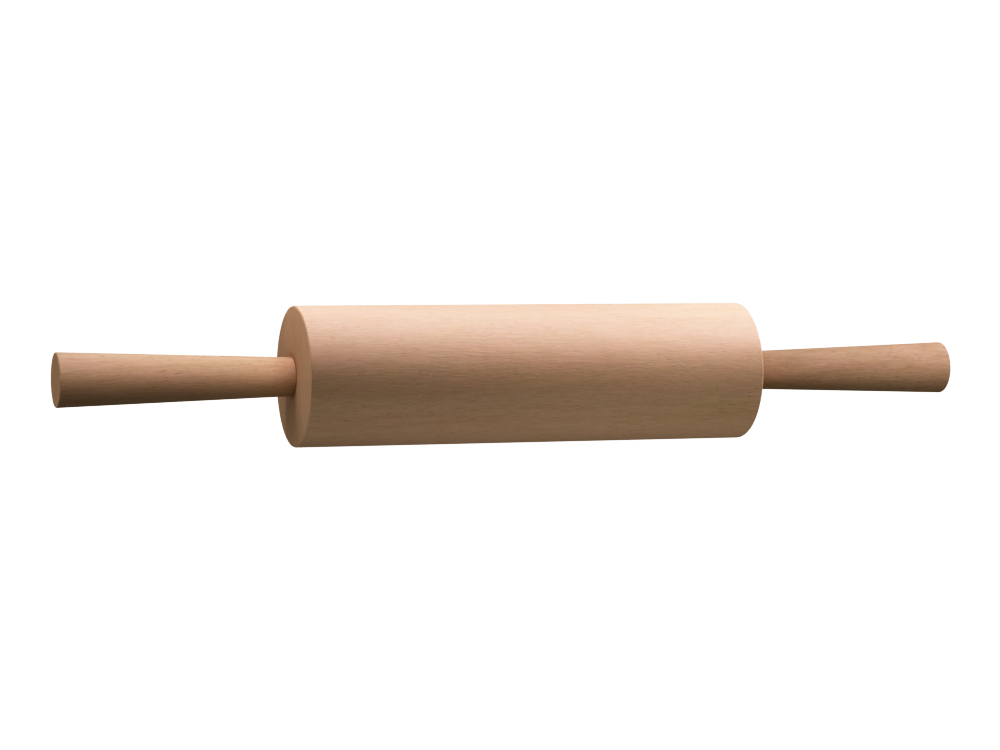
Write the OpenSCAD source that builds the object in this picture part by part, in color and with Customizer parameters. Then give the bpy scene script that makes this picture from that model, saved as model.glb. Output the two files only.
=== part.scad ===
// A rolling pin: a turned beech roller on two small ball bearings, and two tapered
// beech handles screwed to the ends of one steel axle. X runs along the axle, the
// origin is at its middle and +Z is up. Sizes are in millimetres.

/* [Roller] */
// Diameter of the roller
roller_d = 65; // [50:0.5:90]
// Length of the roller from rim to rim
roller_len = 220; // [150:1:400]
// How far each end face swells past its rim
end_swell = 0.8; // [0.2:0.1:2]
// Rounding of the two rims
rim_round = 0.8; // [0.3:0.1:3]
// Bore through the roller that clears the axle
roller_bore_d = 10; // [9:0.5:12]

/* [Handles] */
// Length of a handle
handle_len = 108; // [80:1:150]
// Diameter of a handle at its neck
neck_d = 17.9; // [16:0.1:22]
// Diameter of a handle at its outer end
handle_d = 24.9; // [20:0.1:34]
// Rounding of a handle's outer end
handle_round = 0.6; // [0.3:0.1:4]
// Rounding of the edge of the neck
neck_round = 0.15; // [0.1:0.05:0.8]
// Gap in which the neck runs past the end face of the roller
handle_gap = 0.15; // [0.1:0.05:1]

/* [Axle] */
// Diameter of the axle between its shoulders
axle_d = 8; // [7:0.1:8.6]
// Length of each threaded end inside its handle
thread_len = 17; // [12:1:18]
// Depth of the relief groove where a thread starts
relief_depth = 0.4; // [0.2:0.05:0.8]
// Width of that relief groove
relief_w = 1.2; // [0.8:0.1:2]
// Chamfer on the two ends of the axle
axle_chamfer = 0.7; // [0.3:0.1:1.2]

/* [Bearings] */
// Bore of a bearing
bearing_bore_d = 6; // [5.6:0.1:6.4]
// Outer diameter of a bearing
bearing_od = 15; // [14.6:0.1:16]
// Width of a bearing
bearing_w = 5; // [4.8:0.1:6]
// Diameter of a ball
ball_d = 2.5; // [2.1:0.05:2.7]
// Number of balls in a bearing
ball_count = 7; // [4:1:7]
// Radial gap between the lands of the two races
race_gap = 1.8; // [1.4:0.1:2]
// Chamfer on the edges of the races
race_chamfer = 0.3; // [0.1:0.05:0.4]
// Thickness of a shield
shield_t = 0.3; // [0.2:0.05:0.4]
// How far a shield lies below the face of its race
shield_sink = 0.1; // [0.05:0.05:0.15]
// How far a shield reaches into the outer race
shield_bite = 0.45; // [0.2:0.05:0.6]

/* [Ball cages] */
// Thickness of the cage's ring behind the balls
cage_back = 0.5; // [0.3:0.05:0.6]
// How far the prongs reach past the middle of the balls
cage_grip = 0.7; // [0.4:0.05:1]
// Width of the slot between two prongs
prong_slot = 0.7; // [0.4:0.05:1]
// Depth of that slot
slot_depth = 1.2; // [0.6:0.1:1.6]

/* [Bearing cups] */
// Wall of the steel cup round a bearing
cup_wall = 0.9; // [0.6:0.05:1.2]
// Thickness of the lip that the bearing rests on
cup_lip = 0.8; // [0.5:0.1:1.5]
// Rounding of the cup's closed end
cup_round = 0.6; // [0.2:0.1:0.8]
// How far the cup's mouth lies below the end face of the roller
cup_sink = 0.2; // [0.1:0.05:0.5]
// How far the bearing lies below the cup's mouth
bearing_sink = 0.3; // [0.1:0.05:0.6]

/* [Threaded inserts] */
// Length of an insert
insert_len = 20; // [18:1:30]
// Diameter of an insert over its ribs
insert_d = 10; // [9.4:0.1:11]
// Diameter of an insert's flange
flange_d = 13; // [12:0.1:14]
// Thickness of the flange
flange_t = 1.2; // [0.8:0.1:2]
// Depth of the glue grooves between the ribs
rib_depth = 0.5; // [0.3:0.05:0.8]
// Number of ribs
rib_count = 5; // [3:1:7]
// Room left past the insert at the bottom of the handle's bore
bore_spare = 1.5; // [1:0.5:5]

/* [Fits] */
// Radial gap of a pressed fit
press_gap = 0.02; // [0.01:0.01:0.03]
// Radial gap filled with glue
glue_gap = 0.05; // [0.03:0.01:0.1]
// Radial gap between the axle's thread and its insert
thread_gap = 0.05; // [0.02:0.01:0.1]
// Gap between a ball and the grooves of its races
ball_gap = 0.04; // [0.02:0.01:0.06]
// Gap between a ball and its pocket
pocket_gap = 0.08; // [0.05:0.01:0.1]
// Radial gap between the cage and the lands of the races
cage_gap = 0.4; // [0.2:0.05:0.5]
// Radial gap between turning pieces that pass close by
shield_gap = 0.12; // [0.08:0.01:0.2]

/* [Hidden] */
$fn = 96;
OVER = 1; // how far a cutter runs past what it cuts
DRILL_POINT = 118; // angle of a drill's point
ARC_STEPS = 8;
FACE_STEPS = 12;

roller_r = roller_d / 2;
neck_r = neck_d / 2;
handle_r = handle_d / 2;
ball_r = ball_d / 2;
rim_x = roller_len / 2;
face_x = rim_x + end_swell;
neck_x = face_x + handle_gap;
cup_mouth_x = face_x - cup_sink;
bearing_out_x = cup_mouth_x - bearing_sink;
bearing_x = bearing_out_x - bearing_w / 2;
bearing_in_x = bearing_out_x - bearing_w;
cup_in_x = bearing_in_x - cup_lip;
axle_end_x = neck_x + thread_len;
bore_end_x = neck_x + insert_len + bore_spare;

bore_r = bearing_bore_d / 2;
journal_r = bore_r - press_gap;
pitch_r = (bearing_bore_d + bearing_od) / 4;
inner_land_r = pitch_r - race_gap / 2;
outer_land_r = pitch_r + race_gap / 2;
groove_r = ball_r + ball_gap;
shield_in_r = inner_land_r + shield_gap;
shield_out_r = outer_land_r + shield_bite;
spacer_r = inner_land_r - shield_gap;
cup_in_r = bearing_od / 2 + press_gap;
cup_out_r = cup_in_r + cup_wall;
lip_r = outer_land_r + shield_gap;
pocket_r = cup_out_r + glue_gap;
seat_r = neck_r + 1;
thread_r = journal_r;
insert_bore_r = thread_r + thread_gap;

// Points of an arc from angle a0 to angle a1 about the point c
function arc(c, r, a0, a1, steps = ARC_STEPS) =
    [for (i = [0:steps]) let (a = a0 + (a1 - a0) * i / steps) c + r * [cos(a), sin(a)]];

// The profiles below are drawn as [radius, place along the axle] for the right end.

// End face of the roller, from the rim to the flat seat round the bore
function end_face() =
    let (
        run = roller_r - rim_round - seat_r,
        r = (run * run + end_swell * end_swell) / (2 * end_swell)
    )
    arc([seat_r, face_x - r], r, acos(run / r), 90, FACE_STEPS);

function rim() = arc([roller_r - rim_round, rim_x - rim_round], rim_round, 0, 90);

function flip(points) = [for (i = [len(points) - 1:-1:0]) [points[i][0], -points[i][1]]];

module along_x() {
    rotate([0, 90, 0])
        children();
}

module turned(points) {
    along_x()
        rotate_extrude()
            polygon(points);
}

module left_side() {
    mirror([1, 0, 0])
        children();
}

// A plain tube along the axle between two places
module tube(r_in, r_out, x0, x1) {
    turned([[r_in, x0], [r_out, x0], [r_out, x1], [r_in, x1]]);
}

module bearing_pocket() {
    translate([cup_in_x, 0, 0])
        along_x()
            cylinder(r = pocket_r, h = face_x - cup_in_x + OVER);
}

module roller() {
    end = concat(rim(), end_face());
    color([0.84, 0.67, 0.53])
        difference() {
            turned(concat(flip(end), end, [[0, face_x], [0, -face_x]]));
            along_x()
                cylinder(d = roller_bore_d, h = 2 * (face_x + OVER), center = true);
            bearing_pocket();
            left_side()
                bearing_pocket();
        }
}

// Half of the axle's profile: shoulder, journal, relief groove, thread and chamfer
function axle_end() = [
    [axle_d / 2, bearing_in_x],
    [journal_r, bearing_in_x],
    [journal_r, neck_x],
    [thread_r - relief_depth, neck_x],
    [thread_r - relief_depth, neck_x + relief_w],
    [thread_r, neck_x + relief_w],
    [thread_r, axle_end_x - axle_chamfer],
    [thread_r - axle_chamfer, axle_end_x],
    [0, axle_end_x]
];

module axle() {
    color([0.72, 0.73, 0.75])
        turned(concat(flip(axle_end()), axle_end()));
}

// A handle: a straight taper with rounded ends, bored and counterbored for its insert
module handle() {
    insert_r = insert_d / 2 + glue_gap;
    flange_r = flange_d / 2 + glue_gap;
    end_x = neck_x + handle_len;
    taper = atan((handle_r - neck_r) / handle_len);
    color([0.76, 0.55, 0.42])
        turned(concat(
            [[flange_r, neck_x]],
            arc([neck_r - neck_round, neck_x + neck_round], neck_round, -90, -taper),
            arc([handle_r - handle_round, end_x - handle_round], handle_round, -taper, 90),
            [
                [0, end_x],
                [0, bore_end_x + insert_r / tan(DRILL_POINT / 2)],
                [insert_r, bore_end_x],
                [insert_r, neck_x + flange_t],
                [flange_r, neck_x + flange_t]
            ]
        ));
}

// Ribbed insert that is glued in the handle and takes the axle's thread
module insert() {
    barrel_len = insert_len - flange_t;
    pitch = barrel_len / (2 * rib_count - 1);
    color([0.80, 0.66, 0.36])
        union() {
            tube(insert_bore_r, flange_d / 2, neck_x, neck_x + flange_t);
            tube(insert_bore_r, insert_d / 2 - rib_depth, neck_x, neck_x + insert_len);
            for (i = [0:rib_count - 1])
                let (x = neck_x + flange_t + 2 * i * pitch)
                    tube(insert_bore_r, insert_d / 2, x, x + pitch);
        }
}

// Washer that carries the handle's clamping force to the inner race
module spacer() {
    color([0.62, 0.63, 0.66])
        tube(bore_r, spacer_r, bearing_out_x, neck_x);
}

module bearing_cup() {
    color([0.66, 0.67, 0.70])
        turned(concat(
            [[lip_r, bearing_in_x], [lip_r, cup_in_x]],
            arc([cup_out_r - cup_round, cup_in_x + cup_round], cup_round, -90, 0),
            [[cup_out_r, cup_mouth_x], [cup_in_r, cup_mouth_x], [cup_in_r, bearing_in_x]]
        ));
}

// A race: a ring between its land and its seat, with chamfers and the ball groove
module race(land_r, seat_r) {
    toward = sign(seat_r - land_r);
    half = bearing_w / 2;
    edge = seat_r - toward * race_chamfer;
    along_x()
        rotate_extrude()
            difference() {
                polygon([
                    [land_r, -half], [edge, -half], [seat_r, race_chamfer - half],
                    [seat_r, half - race_chamfer], [edge, half], [land_r, half]
                ]);
                translate([pitch_r, 0])
                    circle(r = groove_r);
                children();
            }
}

module outer_race() {
    step = shield_t + shield_sink;
    color([0.70, 0.71, 0.74])
        translate([bearing_x, 0, 0])
            race(outer_land_r, bearing_od / 2)
                for (side = [-1, 1])
                    translate([outer_land_r, side * bearing_w / 2])
                        square([2 * (shield_bite + press_gap), 2 * step], center = true);
}

module inner_race() {
    color([0.74, 0.75, 0.78])
        translate([bearing_x, 0, 0])
            race(inner_land_r, bore_r);
}

module at_each_ball(turn = 0) {
    for (i = [0:ball_count - 1])
        rotate([(i + turn) * 360 / ball_count, 0, 0])
            translate([bearing_x, 0, pitch_r])
                children();
}

module balls() {
    color([0.86, 0.87, 0.90])
        at_each_ball()
            sphere(r = ball_r);
}

// Crown cage: a ring with open pockets, whose split prongs snap round the balls
module ball_cage() {
    back_x = bearing_x - ball_r - pocket_gap - cage_back;
    color([0.93, 0.90, 0.82])
        difference() {
            tube(inner_land_r + cage_gap, outer_land_r - cage_gap, back_x, bearing_x + cage_grip);
            at_each_ball()
                sphere(r = ball_r + pocket_gap);
            at_each_ball(0.5)
                translate([cage_grip, 0, 0])
                    cube([2 * slot_depth, prong_slot, race_gap + OVER], center = true);
        }
}

module shields() {
    outer = bearing_w / 2 - shield_sink;
    inner = outer - shield_t;
    color([0.58, 0.59, 0.62]) {
        tube(shield_in_r, shield_out_r, bearing_x + inner, bearing_x + outer);
        tube(shield_in_r, shield_out_r, bearing_x - outer, bearing_x - inner);
    }
}

roller();
axle();
handle();  // right_handle
left_side() handle();  // left_handle
insert();  // right_insert
left_side() insert();  // left_insert
spacer();  // right_spacer
left_side() spacer();  // left_spacer
bearing_cup();  // right_bearing_cup
left_side() bearing_cup();  // left_bearing_cup
outer_race();  // right_outer_race
left_side() outer_race();  // left_outer_race
inner_race();  // right_inner_race
left_side() inner_race();  // left_inner_race
balls();  // right_balls
left_side() balls();  // left_balls
ball_cage();  // right_ball_cage
left_side() ball_cage();  // left_ball_cage
shields();  // right_shields
left_side() shields();  // left_shields
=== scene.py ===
"""A beech rolling pin: the looks, the lights and the camera round its packed construction."""

import math

import bmesh
import bpy
from mathutils import Matrix, Vector


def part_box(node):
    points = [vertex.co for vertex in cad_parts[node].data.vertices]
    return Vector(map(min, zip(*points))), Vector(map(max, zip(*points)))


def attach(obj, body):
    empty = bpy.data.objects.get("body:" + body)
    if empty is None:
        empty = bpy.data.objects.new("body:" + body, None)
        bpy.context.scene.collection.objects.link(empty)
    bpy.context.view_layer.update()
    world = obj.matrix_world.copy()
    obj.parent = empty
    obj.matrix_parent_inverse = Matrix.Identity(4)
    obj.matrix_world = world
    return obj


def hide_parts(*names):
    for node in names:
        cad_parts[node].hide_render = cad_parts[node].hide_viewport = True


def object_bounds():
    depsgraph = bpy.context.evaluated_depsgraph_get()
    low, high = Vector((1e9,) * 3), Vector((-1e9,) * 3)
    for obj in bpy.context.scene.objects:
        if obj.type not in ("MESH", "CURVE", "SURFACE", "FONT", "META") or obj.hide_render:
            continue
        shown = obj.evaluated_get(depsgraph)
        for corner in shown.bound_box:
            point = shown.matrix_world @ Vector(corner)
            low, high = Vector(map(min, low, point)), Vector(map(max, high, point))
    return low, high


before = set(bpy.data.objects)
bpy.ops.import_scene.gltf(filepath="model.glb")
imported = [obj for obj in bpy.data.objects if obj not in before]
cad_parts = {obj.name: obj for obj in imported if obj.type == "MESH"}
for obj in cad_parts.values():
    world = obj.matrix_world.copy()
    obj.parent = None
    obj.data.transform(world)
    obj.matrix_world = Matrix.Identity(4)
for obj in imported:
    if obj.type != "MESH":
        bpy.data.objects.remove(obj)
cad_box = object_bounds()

MM = 0.001

# Camera: place in metres, turns in degrees, lens and sensor in millimetres
CAMERA_PLACE = (-0.4239, -1.2302, 0.0516)
CAMERA_YAW = 18.583
CAMERA_PITCH = 2.305
CAMERA_ROLL = -0.070
CAMERA_LENS = 99.82
SENSOR_WIDTH = 36.0

# Light colours, how strongly the room and the ground below it glow, and how soft the horizon is
COOL, WARM, GROUND = (1.0, 0.988, 1.169), (1.0, 1.12, 0.70), (1.0, 1.063, 1.066)
ROOM_GLOW, GROUND_GLOW = 0.0474, 0.1583
HORIZON = 0.2

# Studio lamps: name, what they light, place and aim in metres, size in metres, colour, watts
LAMPS = (
    ("box_above", "roller", (0, -0.05, 0.70), (0, 0, 0), (0.50, 0.40), COOL, 2.225),
    ("strip_near", "roller", (-0.02, -0.06, 0.12), (0, 0, 0), (0.34, 0.04), COOL, 0.078),
    ("card_right", "roller", (0.40, -0.06, 0.30), (0.17, 0, 0), (0.20, 0.20), COOL, 1.27),
    ("card_left", "roller", (-0.16, -0.02, 0.15), (-0.15, 0, 0), (0.08, 0.05), COOL, 0.058),
    ("card_low", "roller", (0, -0.35, -0.25), (0, 0, 0), (0.40, 0.10), GROUND, 0.354),
    ("card_face", "roller", (-0.55, 0, -0.02), (-0.22, 0, 0), (0.15, 0.15), COOL, 0.25),
    ("card_face_high", "roller", (-0.54, -0.02, 0.05), (-0.11, 0, 0), (0.10, 0.10), COOL, 0.11),
    ("card_far_face", "roller", (0.55, 0, -0.02), (0.22, 0, 0), (0.15, 0.15), COOL, 0.15),
    ("card_end", "handles", (-0.55, 0, -0.02), (-0.22, 0, 0), (0.15, 0.15), COOL, 0.395),
    ("box_front", "handles", (0, -0.45, 0.45), (0, 0, 0), (0.50, 0.30), COOL, 1.78),
    ("box_back", "handles", (0, 0.25, 0.45), (0, 0, 0), (0.60, 0.20), COOL, 1.0),
    ("card_right_top", "handles", (0.40, -0.06, 0.30), (0.17, 0, 0), (0.20, 0.20), COOL, 0.393),
    ("card_right_front", "handles", (0.45, -0.20, 0.05), (0.10, 0, 0), (0.15, 0.15), COOL, 0.212),
    ("card_left_top", "handles", (-0.20, -0.06, 0.20), (-0.17, 0, 0), (0.10, 0.10), COOL, 0.201),
    ("card_low_front", "handles", (0, -0.35, -0.25), (0, 0, 0), (0.40, 0.10), GROUND, 0.175),
    ("box_behind", "all", (0, 0.70, -0.06), (0, 0, 0), (0.16, 0.30), COOL, 0.55),
)

# Tone curve: how steep it is, where its middle lies and the lights at which it gets a point
TONE_POWER, TONE_BALANCE = 1.7, 0.5
TONE_STEPS = (0.03, 0.07, 0.12, 0.2, 0.3, 0.4, 0.5, 0.6, 0.7, 0.8, 0.9)

# Floor, in metres, and how far and how deeply it shades next to the pin
FLOOR_RADIUS = 6.0
FLOOR_GAP = 0.02 * MM
CONTACT_REACH = 0.03
CONTACT_SHADE = 0.94

# Turned shapes: points round a piece and on an arc, the sizes that the frame doesn't hold, and half
# the angle of a drill's tip in degrees
AROUND = 192
ARC_STEPS = 8
RING_STEP = 4 * MM
RIM_ROUND = 0.8 * MM
END_ROUND = 0.6 * MM
END_SWELL = 0.8 * MM
ROLLER_BORE = 5 * MM
GLUE_GAP = 0.05 * MM
NECK_RADIUS = 8.95 * MM
NECK_ROUND = 0.05 * MM
NECK_REACH = 0.1 * MM
HANDLE_BORE = 5.05 * MM
BORE_SPARE = 1.5 * MM
FLANGE_DEPTH = 1.2 * MM
DRILL_ANGLE = 59

# Patterns in beech: size along the fibres, outwards from the pith and round it, in millimetres
SWAY_SIZE, SWAY_REACH = (26, 9, 9), 5
RING_DRIFT_SIZE, RING_DRIFT_REACH = (110, 30, 30), 18.0
RING_SIZE = (3.2, 1, 1)
HUE_SIZE = (34, 7, 7)
FIBRE_SIZE = (5, 0.42, 0.42)
STREAK_SIZE = (22, 0.7, 0.7)
STAIN_SIZE = (9, 1.5, 1.5)
CLOUD_SIZE = (120, 18, 18)
LONG_RAY_SIZE, LONG_RAY_REACH = (6.5, 1.8, 0.60), 0.30
SHORT_RAY_SIZE, SHORT_RAY_REACH = (4.0, 1.2, 0.45), 0.28

# How strongly the patterns show: shares of the wood's colour, and the relief in metres
FIBRE_DARK, FIBRE_LIGHT = 0.043, 0.039
STREAK_DEPTH, RING_DEPTH, CLOUD_DEPTH = 0.03, 0.02, 0.03
FLECK_DEPTH = 0.23
RELIEF, RELIEF_STRENGTH = 0.07 * MM, 0.9
FIBRE_RELIEF, RAY_RELIEF = 0.6, 0.6

# Darker wood is also redder, so its shade acts most on blue and least on red
SHADE_DEPTH = (0.85, 1.02, 1.35)

# What the fine stains and the end grain do to the colour, and which faces count as end grain
STAINS = ((1.007, 1, 0.984, 1), (0.993, 1, 1.016, 1))
END_GRAIN = (1.042, 1.073, 0.993, 1)
END_FACING = (0.6, 0.95)

# Each piece of wood: its colours, where its pith lies in millimetres, how its grain tilts in degrees,
# where its patterns start, the stretch in metres along which painted light and shade take it from
# darker to paler and by what share, and how strongly its marks show
WOODS = {
    "roller": dict(
        tan=(0.672, 0.466, 0.313, 1), pink=(0.686, 0.463, 0.323, 1), fleck=(0.33, 0.17, 0.10, 1),
        pith=(77, -21), tilt=(0, 0.6, 0.9), shift=0, painted_light_stretch=(-0.110, 0.110), painted_light_share=0.084, tone=1.0,
    ),
    "left": dict(
        tan=(0.514, 0.357, 0.219, 1), pink=(0.523, 0.349, 0.224, 1), fleck=(0.29, 0.145, 0.08, 1),
        pith=(-46, -58), tilt=(0, 1.2, -2.2), shift=600, painted_light_stretch=(-0.219, -0.111), painted_light_share=0.135, tone=1.35,
    ),
    "right": dict(
        tan=(0.530, 0.367, 0.227, 1), pink=(0.536, 0.358, 0.231, 1), fleck=(0.30, 0.15, 0.08, 1),
        pith=(52, -50), tilt=(0, -1.6, 2.6), shift=-600, painted_light_stretch=(0.111, 0.219), painted_light_share=0.14, tone=1.55,
    ),
}

# Metals: name, two colours that it varies between, roughness and size of its turning marks, and how
# large the clouds in its colour are
METALS = {
    "axle": ("dressed_axle_steel", (0.56, 0.57, 0.59, 1), (0.50, 0.51, 0.53, 1), 0.32, 0.12 * MM),
    "cup": ("dressed_cup_steel", (0.60, 0.60, 0.61, 1), (0.52, 0.52, 0.54, 1), 0.38, 0.2 * MM),
    "race": ("dressed_race_steel", (0.66, 0.67, 0.69, 1), (0.60, 0.61, 0.63, 1), 0.16, 0.06 * MM),
    "ball": ("dressed_ball_steel", (0.76, 0.77, 0.79, 1), (0.72, 0.73, 0.75, 1), 0.07, 0.5 * MM),
    "brass": ("dressed_insert_brass", (0.78, 0.56, 0.24, 1), (0.68, 0.46, 0.18, 1), 0.28, 0.1 * MM),
    "shield": ("dressed_shield_steel", (0.48, 0.49, 0.51, 1), (0.42, 0.43, 0.45, 1), 0.42, 0.08 * MM),
}
METAL_CLOUD = 4 * MM

# The plastic of the cages: two colours that it varies between, and the sizes of its clouds and grit
CAGE_COLOURS = ((0.84, 0.79, 0.66, 1), (0.79, 0.73, 0.60, 1))
CAGE_CLOUD, CAGE_GRIT = 1.5 * MM, 0.12 * MM

# Depth of the relief on metal and plastic
FINE_RELIEF = 0.01 * MM


class Tree:
    """Short calls that add nodes to a new material and link them."""

    def __init__(self, name):
        self.material = bpy.data.materials.new(name)
        self.material.use_nodes = True
        self.nodes = self.material.node_tree.nodes
        self.links = self.material.node_tree.links
        self.nodes.clear()

    def put(self, value, socket):
        if isinstance(value, bpy.types.NodeSocket):
            self.links.new(value, socket)
        else:
            socket.default_value = value

    def add(self, kind, settings=None, **inputs):
        made = self.nodes.new("ShaderNode" + kind)
        for key, value in (settings or {}).items():
            setattr(made, key, value)
        for key, value in inputs.items():
            self.put(value, made.inputs[key.replace("_", " ")])
        return made

    def math(self, operation, a, b=0.0):
        made = self.add("Math", {"operation": operation})
        self.put(a, made.inputs[0])
        self.put(b, made.inputs[1])
        return made.outputs[0]

    def vector(self, operation, a, b, output="Vector"):
        made = self.add("VectorMath", {"operation": operation})
        self.put(a, made.inputs[0])
        self.put(b, made.inputs[1])
        return made.outputs[output]

    def place(self):
        return self.add("TexCoord").outputs["Object"]

    def split(self, vector):
        return self.add("SeparateXYZ", Vector=vector).outputs

    def texture(self, place, size, detail=2.0, rough=0.5, output="Fac"):
        """Noise whose features have the given size along X, Y and Z."""
        spread = self.vector("DIVIDE", place, size)
        return self.add("TexNoise", Vector=spread, Scale=1.0, Detail=detail, Roughness=rough).outputs[output]

    def ramp(self, value, low, high, to_low=0.0, to_high=1.0, form="SMOOTHSTEP"):
        made = self.add("MapRange", {"interpolation_type": form})
        for socket, given in zip(made.inputs, (value, low, high, to_low, to_high)):
            self.put(given, socket)
        return made.outputs[0]

    def mix(self, share, a, b, blend="MIX"):
        made = self.add("Mix", {"data_type": "RGBA", "blend_type": blend})
        for socket, given in zip((made.inputs[0], made.inputs[6], made.inputs[7]), (share, a, b)):
            self.put(given, socket)
        return made.outputs[2]

    def bump(self, height, depth, strength):
        return self.add("Bump", Height=height, Distance=depth, Strength=strength).outputs[0]

    def surface(self, **inputs):
        shader = self.add("BsdfPrincipled", **inputs)
        self.add("OutputMaterial", Surface=shader.outputs[0])
        return self.material


def unroll(t, place, pith, tilt, shift):
    """Where a point lies in the tree, in millimetres: along it, out from its pith and round the pith."""
    turned = t.add("Mapping", Vector=place, Scale=(1 / MM,) * 3, Location=(shift, 0, 0),
                   Rotation=[math.radians(a) for a in tilt]).outputs[0]
    reach = math.hypot(*pith)
    ahead = (0, -pith[0] / reach, -pith[1] / reach)
    aside = (0, -ahead[2], ahead[1])
    from_pith = t.vector("SUBTRACT", t.vector("MULTIPLY", turned, (0, 1, 1)), (0, *pith))
    out = t.vector("LENGTH", from_pith, (0, 0, 0), "Value")
    angle = t.math("ARCTAN2", t.vector("DOT_PRODUCT", from_pith, aside, "Value"),
                   t.vector("DOT_PRODUCT", from_pith, ahead, "Value"))
    round_it = t.math("MULTIPLY", angle, reach)
    return t.add("CombineXYZ", X=t.split(turned)[0], Y=out, Z=round_it).outputs[0], out


def spindles(t, grain, size, reach):
    """Thin spindles along the grain, each with its own strength: the cut ends of rays."""
    spread = t.vector("DIVIDE", grain, size)
    found = t.add("TexVoronoi", {"feature": "F1"}, Vector=spread, Scale=1.0, Randomness=1.0)
    strength = t.add("SeparateColor", Color=found.outputs["Color"]).outputs[0]
    return t.math("MULTIPLY", t.ramp(found.outputs["Distance"], reach, 0.4 * reach), strength)


def patterns(t, straight, out):
    """The patterns of beech by name. Rings and clouds lie straight, and the others sway with the grain."""
    sway = t.texture(straight, SWAY_SIZE, 1.0, output="Color")
    sway = t.vector("MULTIPLY", t.vector("SUBTRACT", sway, (0.5, 0.5, 0.5)), (0, SWAY_REACH, SWAY_REACH))
    grain = t.vector("ADD", straight, sway)
    ring_drift = t.math("MULTIPLY", t.texture(straight, RING_DRIFT_SIZE, 1.0), RING_DRIFT_REACH)
    ring_place = t.add("CombineXYZ", X=t.math("ADD", out, ring_drift)).outputs[0]
    return {
        "rings": t.texture(ring_place, RING_SIZE, 2.0, 0.6),
        "hue": t.texture(grain, HUE_SIZE),
        "fibres": t.texture(grain, FIBRE_SIZE, 2.0, 0.55),
        "streaks": t.texture(grain, STREAK_SIZE),
        "stain": t.texture(grain, STAIN_SIZE),
        "clouds": t.texture(straight, CLOUD_SIZE, 1.0),
        "rays": t.math("MAXIMUM", spindles(t, grain, LONG_RAY_SIZE, LONG_RAY_REACH),
                       spindles(t, grain, SHORT_RAY_SIZE, SHORT_RAY_REACH)),
    }


def shading(t, found, tone, painted_light_level):
    """How much of each channel the fibres, streaks, rings and clouds leave, and the painted light and shade
    on top.
    """
    shade = t.ramp(found["fibres"], 0.25, 0.75, 1 - FIBRE_DARK * tone, 1 + FIBRE_LIGHT * tone)
    for name, low, high, depth in (
        ("streaks", 0.3, 0.7, STREAK_DEPTH),
        ("rings", 0.4, 0.66, RING_DEPTH),
        ("clouds", 0.3, 0.7, CLOUD_DEPTH),
    ):
        shade = t.math("MULTIPLY", shade, t.ramp(found[name], low, high, 1 + depth * tone, 1 - depth * tone))
    channels = {
        channel: t.math("MULTIPLY", painted_light_level, t.math("POWER", shade, depth))
        for channel, depth in zip(("Red", "Green", "Blue"), SHADE_DEPTH)
    }
    return t.add("CombineColor", **channels).outputs[0]


def beech(name, tan, pink, fleck, pith, tilt, shift, painted_light_stretch, painted_light_share, tone):
    """Beech as a solid. Growth rings lie round a pith, rays run out from it, and fibres run along X.
    From the first place of the stretch to the second, painted light and shade take it from the share below
    its colour to the share above."""
    t = Tree(name)
    place = t.place()
    straight, out = unroll(t, place, pith, tilt, shift)
    found = patterns(t, straight, out)
    facing = t.math("ABSOLUTE", t.split(t.add("TexCoord").outputs["Normal"])[0])
    # Painted light and shade: darker at one end of the stretch and paler at the other, as the lamps fall
    # along the piece. End grain is left out.
    painted_light_along = t.ramp(t.split(place)[0], *painted_light_stretch, 1 - painted_light_share, 1 + painted_light_share, form="LINEAR")
    painted_light_level = t.ramp(facing, *END_FACING, painted_light_along, 1.0)

    colour = t.mix(t.ramp(found["hue"], 0.34, 0.66), tan, pink)
    colour = t.mix(1.0, colour, t.mix(t.ramp(found["stain"], 0.35, 0.65), *STAINS), "MULTIPLY")
    colour = t.mix(1.0, colour, shading(t, found, tone, painted_light_level), "MULTIPLY")
    colour = t.mix(t.math("MULTIPLY", found["rays"], FLECK_DEPTH * tone), colour, fleck)
    colour = t.mix(t.ramp(facing, *END_FACING), colour, t.mix(1.0, colour, END_GRAIN, "MULTIPLY"))

    relief = t.math("ADD", t.math("MULTIPLY", found["fibres"], FIBRE_RELIEF), found["streaks"])
    height = t.math("SUBTRACT", relief, t.math("MULTIPLY", found["rays"], RAY_RELIEF))
    return t.surface(Base_Color=colour, Roughness=t.ramp(found["fibres"], 0.2, 0.8, 0.66, 0.54),
                     Normal=t.bump(height, RELIEF, RELIEF_STRENGTH), Specular_IOR_Level=0.35)


def turned_metal(name, colour, dark, rough, marks):
    """Metal with fine circular marks from turning, which run round the X axis."""
    t = Tree(name)
    x, y, z = t.split(t.place())
    out = t.math("SQRT", t.math("ADD", t.math("MULTIPLY", y, y), t.math("MULTIPLY", z, z)))
    cuts = t.texture(t.add("CombineXYZ", X=x, Y=out).outputs[0], (marks, marks, 1), 3.0, 0.7)
    cloud = t.texture(t.place(), (METAL_CLOUD,) * 3)
    return t.surface(Base_Color=t.mix(t.ramp(cloud, 0.3, 0.7), colour, dark), Metallic=1.0,
                     Roughness=t.ramp(cuts, 0.2, 0.8, rough * 0.8, rough * 1.25),
                     Normal=t.bump(cuts, FINE_RELIEF, 0.4))


def moulded_plastic(name, colour, shade):
    """Plastic with faint clouds in its colour and a fine grit."""
    t = Tree(name)
    place = t.place()
    cloud = t.texture(place, (CAGE_CLOUD,) * 3, 3.0)
    grit = t.texture(place, (CAGE_GRIT,) * 3)
    return t.surface(Base_Color=t.mix(t.ramp(cloud, 0.3, 0.7), colour, shade),
                     Roughness=t.ramp(grit, 0.2, 0.8, 0.38, 0.52), Normal=t.bump(grit, FINE_RELIEF, 0.3))


def arc(x, r, size, start, end):
    """Points of an arc about (x, r). The angle is 0 away from the axis and 90 towards +X."""
    angles = [math.radians(start + (end - start) * i / ARC_STEPS) for i in range(ARC_STEPS + 1)]
    return [(x + size * math.sin(a), r + size * math.cos(a)) for a in angles]


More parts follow.
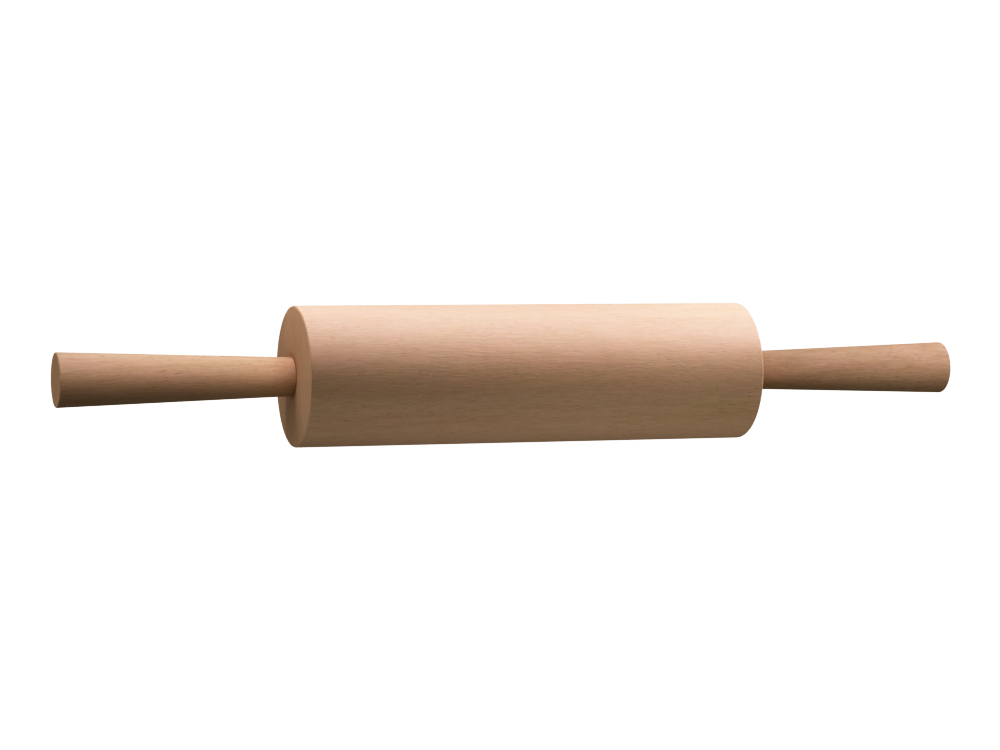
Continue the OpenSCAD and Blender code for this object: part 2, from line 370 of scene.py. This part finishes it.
def filled_in(outline, longest):
    """The same outline with points added, so that no stretch of it is longer than longest."""
    points = [outline[0]]
    for (x0, r0), (x1, r1) in zip(outline, outline[1:]):
        parts = max(1, math.ceil(math.hypot(x1 - x0, r1 - r0) / longest))
        points += [(x0 + (x1 - x0) * i / parts, r0 + (r1 - r0) * i / parts) for i in range(1, parts + 1)]
    return points


def ring(mesh, x, r):
    """A ring of vertices about the X axis, or the same one all round where the radius is nothing."""
    if r < 1e-7:
        return [mesh.verts.new((x, 0, 0))] * AROUND
    angles = [2 * math.pi * i / AROUND for i in range(AROUND)]
    return [mesh.verts.new((x, r * math.cos(a), r * math.sin(a))) for a in angles]


def lathe(name, outline, side=1):
    """Turns an outline of (x, radius) points about X. It closes on the axis, or else on itself."""
    mesh = bmesh.new()
    rings = [ring(mesh, side * x, r) for x, r in filled_in(outline, RING_STEP)]
    if outline[0] == outline[-1]:
        bmesh.ops.delete(mesh, geom=rings.pop(), context="VERTS")
        rings.append(rings[0])
    for low, high in zip(rings, rings[1:]):
        for i in range(AROUND):
            j = (i + 1) % AROUND
            corners = list(dict.fromkeys((low[i], low[j], high[j], high[i])))
            if len(corners) > 2:
                mesh.faces.new(corners)
    bmesh.ops.recalc_face_normals(mesh, faces=mesh.faces)
    piece = in_scene(name, mesh)
    piece.data.shade_smooth()
    piece.modifiers.new("even_shading", "WEIGHTED_NORMAL").weight = 100
    return piece


def in_scene(name, mesh):
    """A new object with the mesh, which is freed."""
    data = bpy.data.meshes.new(name)
    mesh.to_mesh(data)
    mesh.free()
    piece = bpy.data.objects.new(name, data)
    bpy.context.scene.collection.objects.link(piece)
    return piece


def roller_outline():
    """Half of the roller is drawn from its middle to its right end, and mirrored for the other half."""
    radius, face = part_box("roller")[1].z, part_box("roller")[1].x
    rim = face - END_SWELL
    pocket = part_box("right_bearing_cup")
    pocket_r, pocket_x = pocket[1].z + GLUE_GAP, pocket[0].x
    run = radius - RIM_ROUND - pocket_r
    bend = (run * run + END_SWELL * END_SWELL) / (2 * END_SWELL)
    steep = math.asin(run / bend)
    swell = [steep * (1 - i / ARC_STEPS) for i in range(1, ARC_STEPS + 1)]
    half = [(0, radius)] + arc(rim - RIM_ROUND, radius - RIM_ROUND, RIM_ROUND, 0, 90)
    half += [(face - bend + bend * math.cos(a), pocket_r + bend * math.sin(a)) for a in swell]
    half += [(pocket_x, pocket_r), (pocket_x, ROLLER_BORE), (0, ROLLER_BORE)]
    other = [(-x, r) for x, r in reversed(half)]
    return half + other[1:]


def handle_outline():
    """The right handle, from the bottom of its bore, out at the neck and along to the far end."""
    handle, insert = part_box("right_handle"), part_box("right_insert")
    neck_x, end_x, end_r = handle[0].x - NECK_REACH, handle[1].x, handle[1].z
    bore_x, flange_r = insert[1].x + BORE_SPARE, insert[1].z + GLUE_GAP
    flange_x = neck_x + FLANGE_DEPTH
    taper = math.degrees(math.atan((end_r - NECK_RADIUS) / (end_x - neck_x)))
    drill = HANDLE_BORE / math.tan(math.radians(DRILL_ANGLE))
    outline = [(bore_x + drill, 0), (bore_x, HANDLE_BORE), (flange_x, HANDLE_BORE), (flange_x, flange_r),
               (neck_x, flange_r)]
    outline += arc(neck_x + NECK_ROUND, NECK_RADIUS - NECK_ROUND, NECK_ROUND, -90, -taper)
    outline += arc(end_x - END_ROUND, end_r - END_ROUND, END_ROUND, -taper, 90)
    return outline + [(end_x, 0)]


def make_roller():
    roller = lathe("turned_roller", roller_outline())
    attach(roller, "roller")
    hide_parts("roller")
    roller.data.materials.append(beech("turned_roller_beech", **WOODS["roller"]))
    return roller


def make_handle(side, sign):
    handle = lathe(f"turned_{side}_handle", handle_outline(), sign)
    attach(handle, "grips")
    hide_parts(f"{side}_handle")
    handle.data.materials.append(beech(f"turned_{side}_beech", **WOODS[side]))
    return handle


def dress_metal():
    """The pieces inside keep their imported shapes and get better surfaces."""
    metals = {kind: turned_metal(*look) for kind, look in METALS.items()}
    looks = {
        "axle": metals["axle"],
        "spacer": metals["axle"],
        "bearing_cup": metals["cup"],
        "outer_race": metals["race"],
        "inner_race": metals["race"],
        "balls": metals["ball"],
        "ball_cage": moulded_plastic("dressed_cage_plastic", *CAGE_COLOURS),
        "insert": metals["brass"],
        "shields": metals["shield"],
    }
    for node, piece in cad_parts.items():
        kind = node.removeprefix("left_").removeprefix("right_")
        if kind in looks:
            piece.data.materials.clear()
            piece.data.materials.append(looks[kind])


def floor_white():
    """White light from the upper side, a little less of it next to the pin. The lower side is clear."""
    t = Tree("studio_floor")
    near = t.add("AmbientOcclusion", {"samples": 8}, Distance=CONTACT_REACH).outputs["AO"]
    level = t.ramp(near, 0.0, 1.0, CONTACT_SHADE, 1.0)
    glow = t.add("Emission", Color=t.add("CombineColor", Red=level, Green=level, Blue=level).outputs[0])
    both = t.add("MixShader", Fac=t.add("NewGeometry").outputs["Backfacing"])
    t.links.new(glow.outputs[0], both.inputs[1])
    t.links.new(t.add("BsdfTransparent").outputs[0], both.inputs[2])
    t.add("OutputMaterial", Surface=both.outputs[0])
    return t.material


def make_floor():
    """A white floor that only the camera sees, so that the lamps reach the pin from below too."""
    mesh = bmesh.new()
    bmesh.ops.create_circle(mesh, cap_ends=True, segments=96, radius=FLOOR_RADIUS)
    floor = in_scene("floor", mesh)
    floor.data.materials.append(floor_white())
    floor.location.z = cad_box[0].z - FLOOR_GAP
    floor.visible_diffuse = False
    floor.visible_glossy = False
    floor.visible_transmission = False
    floor.visible_shadow = False


def make_lamps(pieces):
    """Each lamp lights the roller and what is in it, or the handles, or everything."""
    lit = {}
    for name, members in pieces.items():
        lit[name] = bpy.data.collections.new(f"lit_{name}")
        for piece in members:
            lit[name].objects.link(piece)
    for name, what, place, aim, size, colour, watts in LAMPS:
        light = bpy.data.lights.new(name, "AREA")
        light.shape = "RECTANGLE"
        light.size, light.size_y = size
        light.energy, light.color = watts, colour
        lamp = bpy.data.objects.new(name, light)
        lamp.location = place
        lamp.rotation_euler = (Vector(aim) - Vector(place)).to_track_quat("-Z", "Y").to_euler()
        lamp.visible_camera = False
        if what in lit:
            lamp.light_linking.receiver_collection = lit[what]
        bpy.context.scene.collection.objects.link(lamp)


def mixed(nodes, links, share, a, b):
    """The colour between a and b. Both are given as values or as sockets."""
    made = nodes.new("ShaderNodeMix")
    made.data_type = "RGBA"
    links.new(share, made.inputs[0])
    for socket, given in ((made.inputs[6], a), (made.inputs[7], b)):
        if isinstance(given, bpy.types.NodeSocket):
            links.new(given, socket)
        else:
            socket.default_value = given
    return made.outputs[2]


def make_world():
    """White where the camera looks. The wood gets a dim warm room above and a brighter ground below."""
    world = bpy.data.worlds.new("studio")
    bpy.context.scene.world = world
    world.use_nodes = True
    nodes, links = world.node_tree.nodes, world.node_tree.links
    nodes.clear()

    height = nodes.new("ShaderNodeSeparateXYZ")
    links.new(nodes.new("ShaderNodeTexCoord").outputs["Generated"], height.inputs[0])
    above = nodes.new("ShaderNodeMapRange")
    above.interpolation_type = "SMOOTHSTEP"
    links.new(height.outputs[2], above.inputs[0])
    for socket, value in zip(above.inputs[1:5], (-HORIZON, HORIZON, 0.0, 1.0)):
        socket.default_value = value
    ground = [share * GROUND_GLOW for share in GROUND] + [1]
    room = [share * ROOM_GLOW for share in WARM] + [1]
    glow = mixed(nodes, links, above.outputs[0], ground, room)
    to_camera = nodes.new("ShaderNodeLightPath").outputs["Is Camera Ray"]
    background = nodes.new("ShaderNodeBackground")
    links.new(mixed(nodes, links, to_camera, glow, (1, 1, 1, 1)), background.inputs["Color"])
    links.new(background.outputs[0], nodes.new("ShaderNodeOutputWorld").inputs["Surface"])


def set_tone():
    """A film-like curve: soft lights, deep shadows and full white for the floor."""
    view = bpy.context.scene.view_settings
    view.view_transform = "Standard"
    view.use_curve_mapping = True
    curve = view.curve_mapping.curves[3]
    for light in TONE_STEPS:
        kept, lost = light ** TONE_POWER, TONE_BALANCE * (1 - light) ** TONE_POWER
        curve.points.new(light, kept / (kept + lost))
    view.curve_mapping.update()


def make_camera():
    """The camera is turned by its yaw, then its pitch, then its roll."""
    lens = bpy.data.cameras.new("camera")
    lens.lens, lens.sensor_width = CAMERA_LENS, SENSOR_WIDTH
    lens.clip_end = 4 * FLOOR_RADIUS
    yaw, pitch, roll = (math.radians(a) for a in (CAMERA_YAW, CAMERA_PITCH, CAMERA_ROLL))
    ahead = Vector((math.sin(yaw) * math.cos(pitch), math.cos(yaw) * math.cos(pitch), -math.sin(pitch)))
    level = Vector((math.cos(yaw), -math.sin(yaw), 0))
    up = level.cross(ahead)
    right = math.cos(roll) * level + math.sin(roll) * up
    top = math.cos(roll) * up - math.sin(roll) * level
    turn = Matrix((right, top, -ahead)).transposed().to_4x4()
    camera = bpy.data.objects.new("camera", lens)
    camera.matrix_world = Matrix.Translation(CAMERA_PLACE) @ turn
    bpy.context.scene.collection.objects.link(camera)
    bpy.context.scene.camera = camera


roller = make_roller()
handles = [make_handle(side, sign) for side, sign in (("left", -1), ("right", 1))]
dress_metal()
make_floor()
make_lamps({"roller": [roller, *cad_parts.values()], "handles": handles})
make_world()
make_camera()
set_tone()
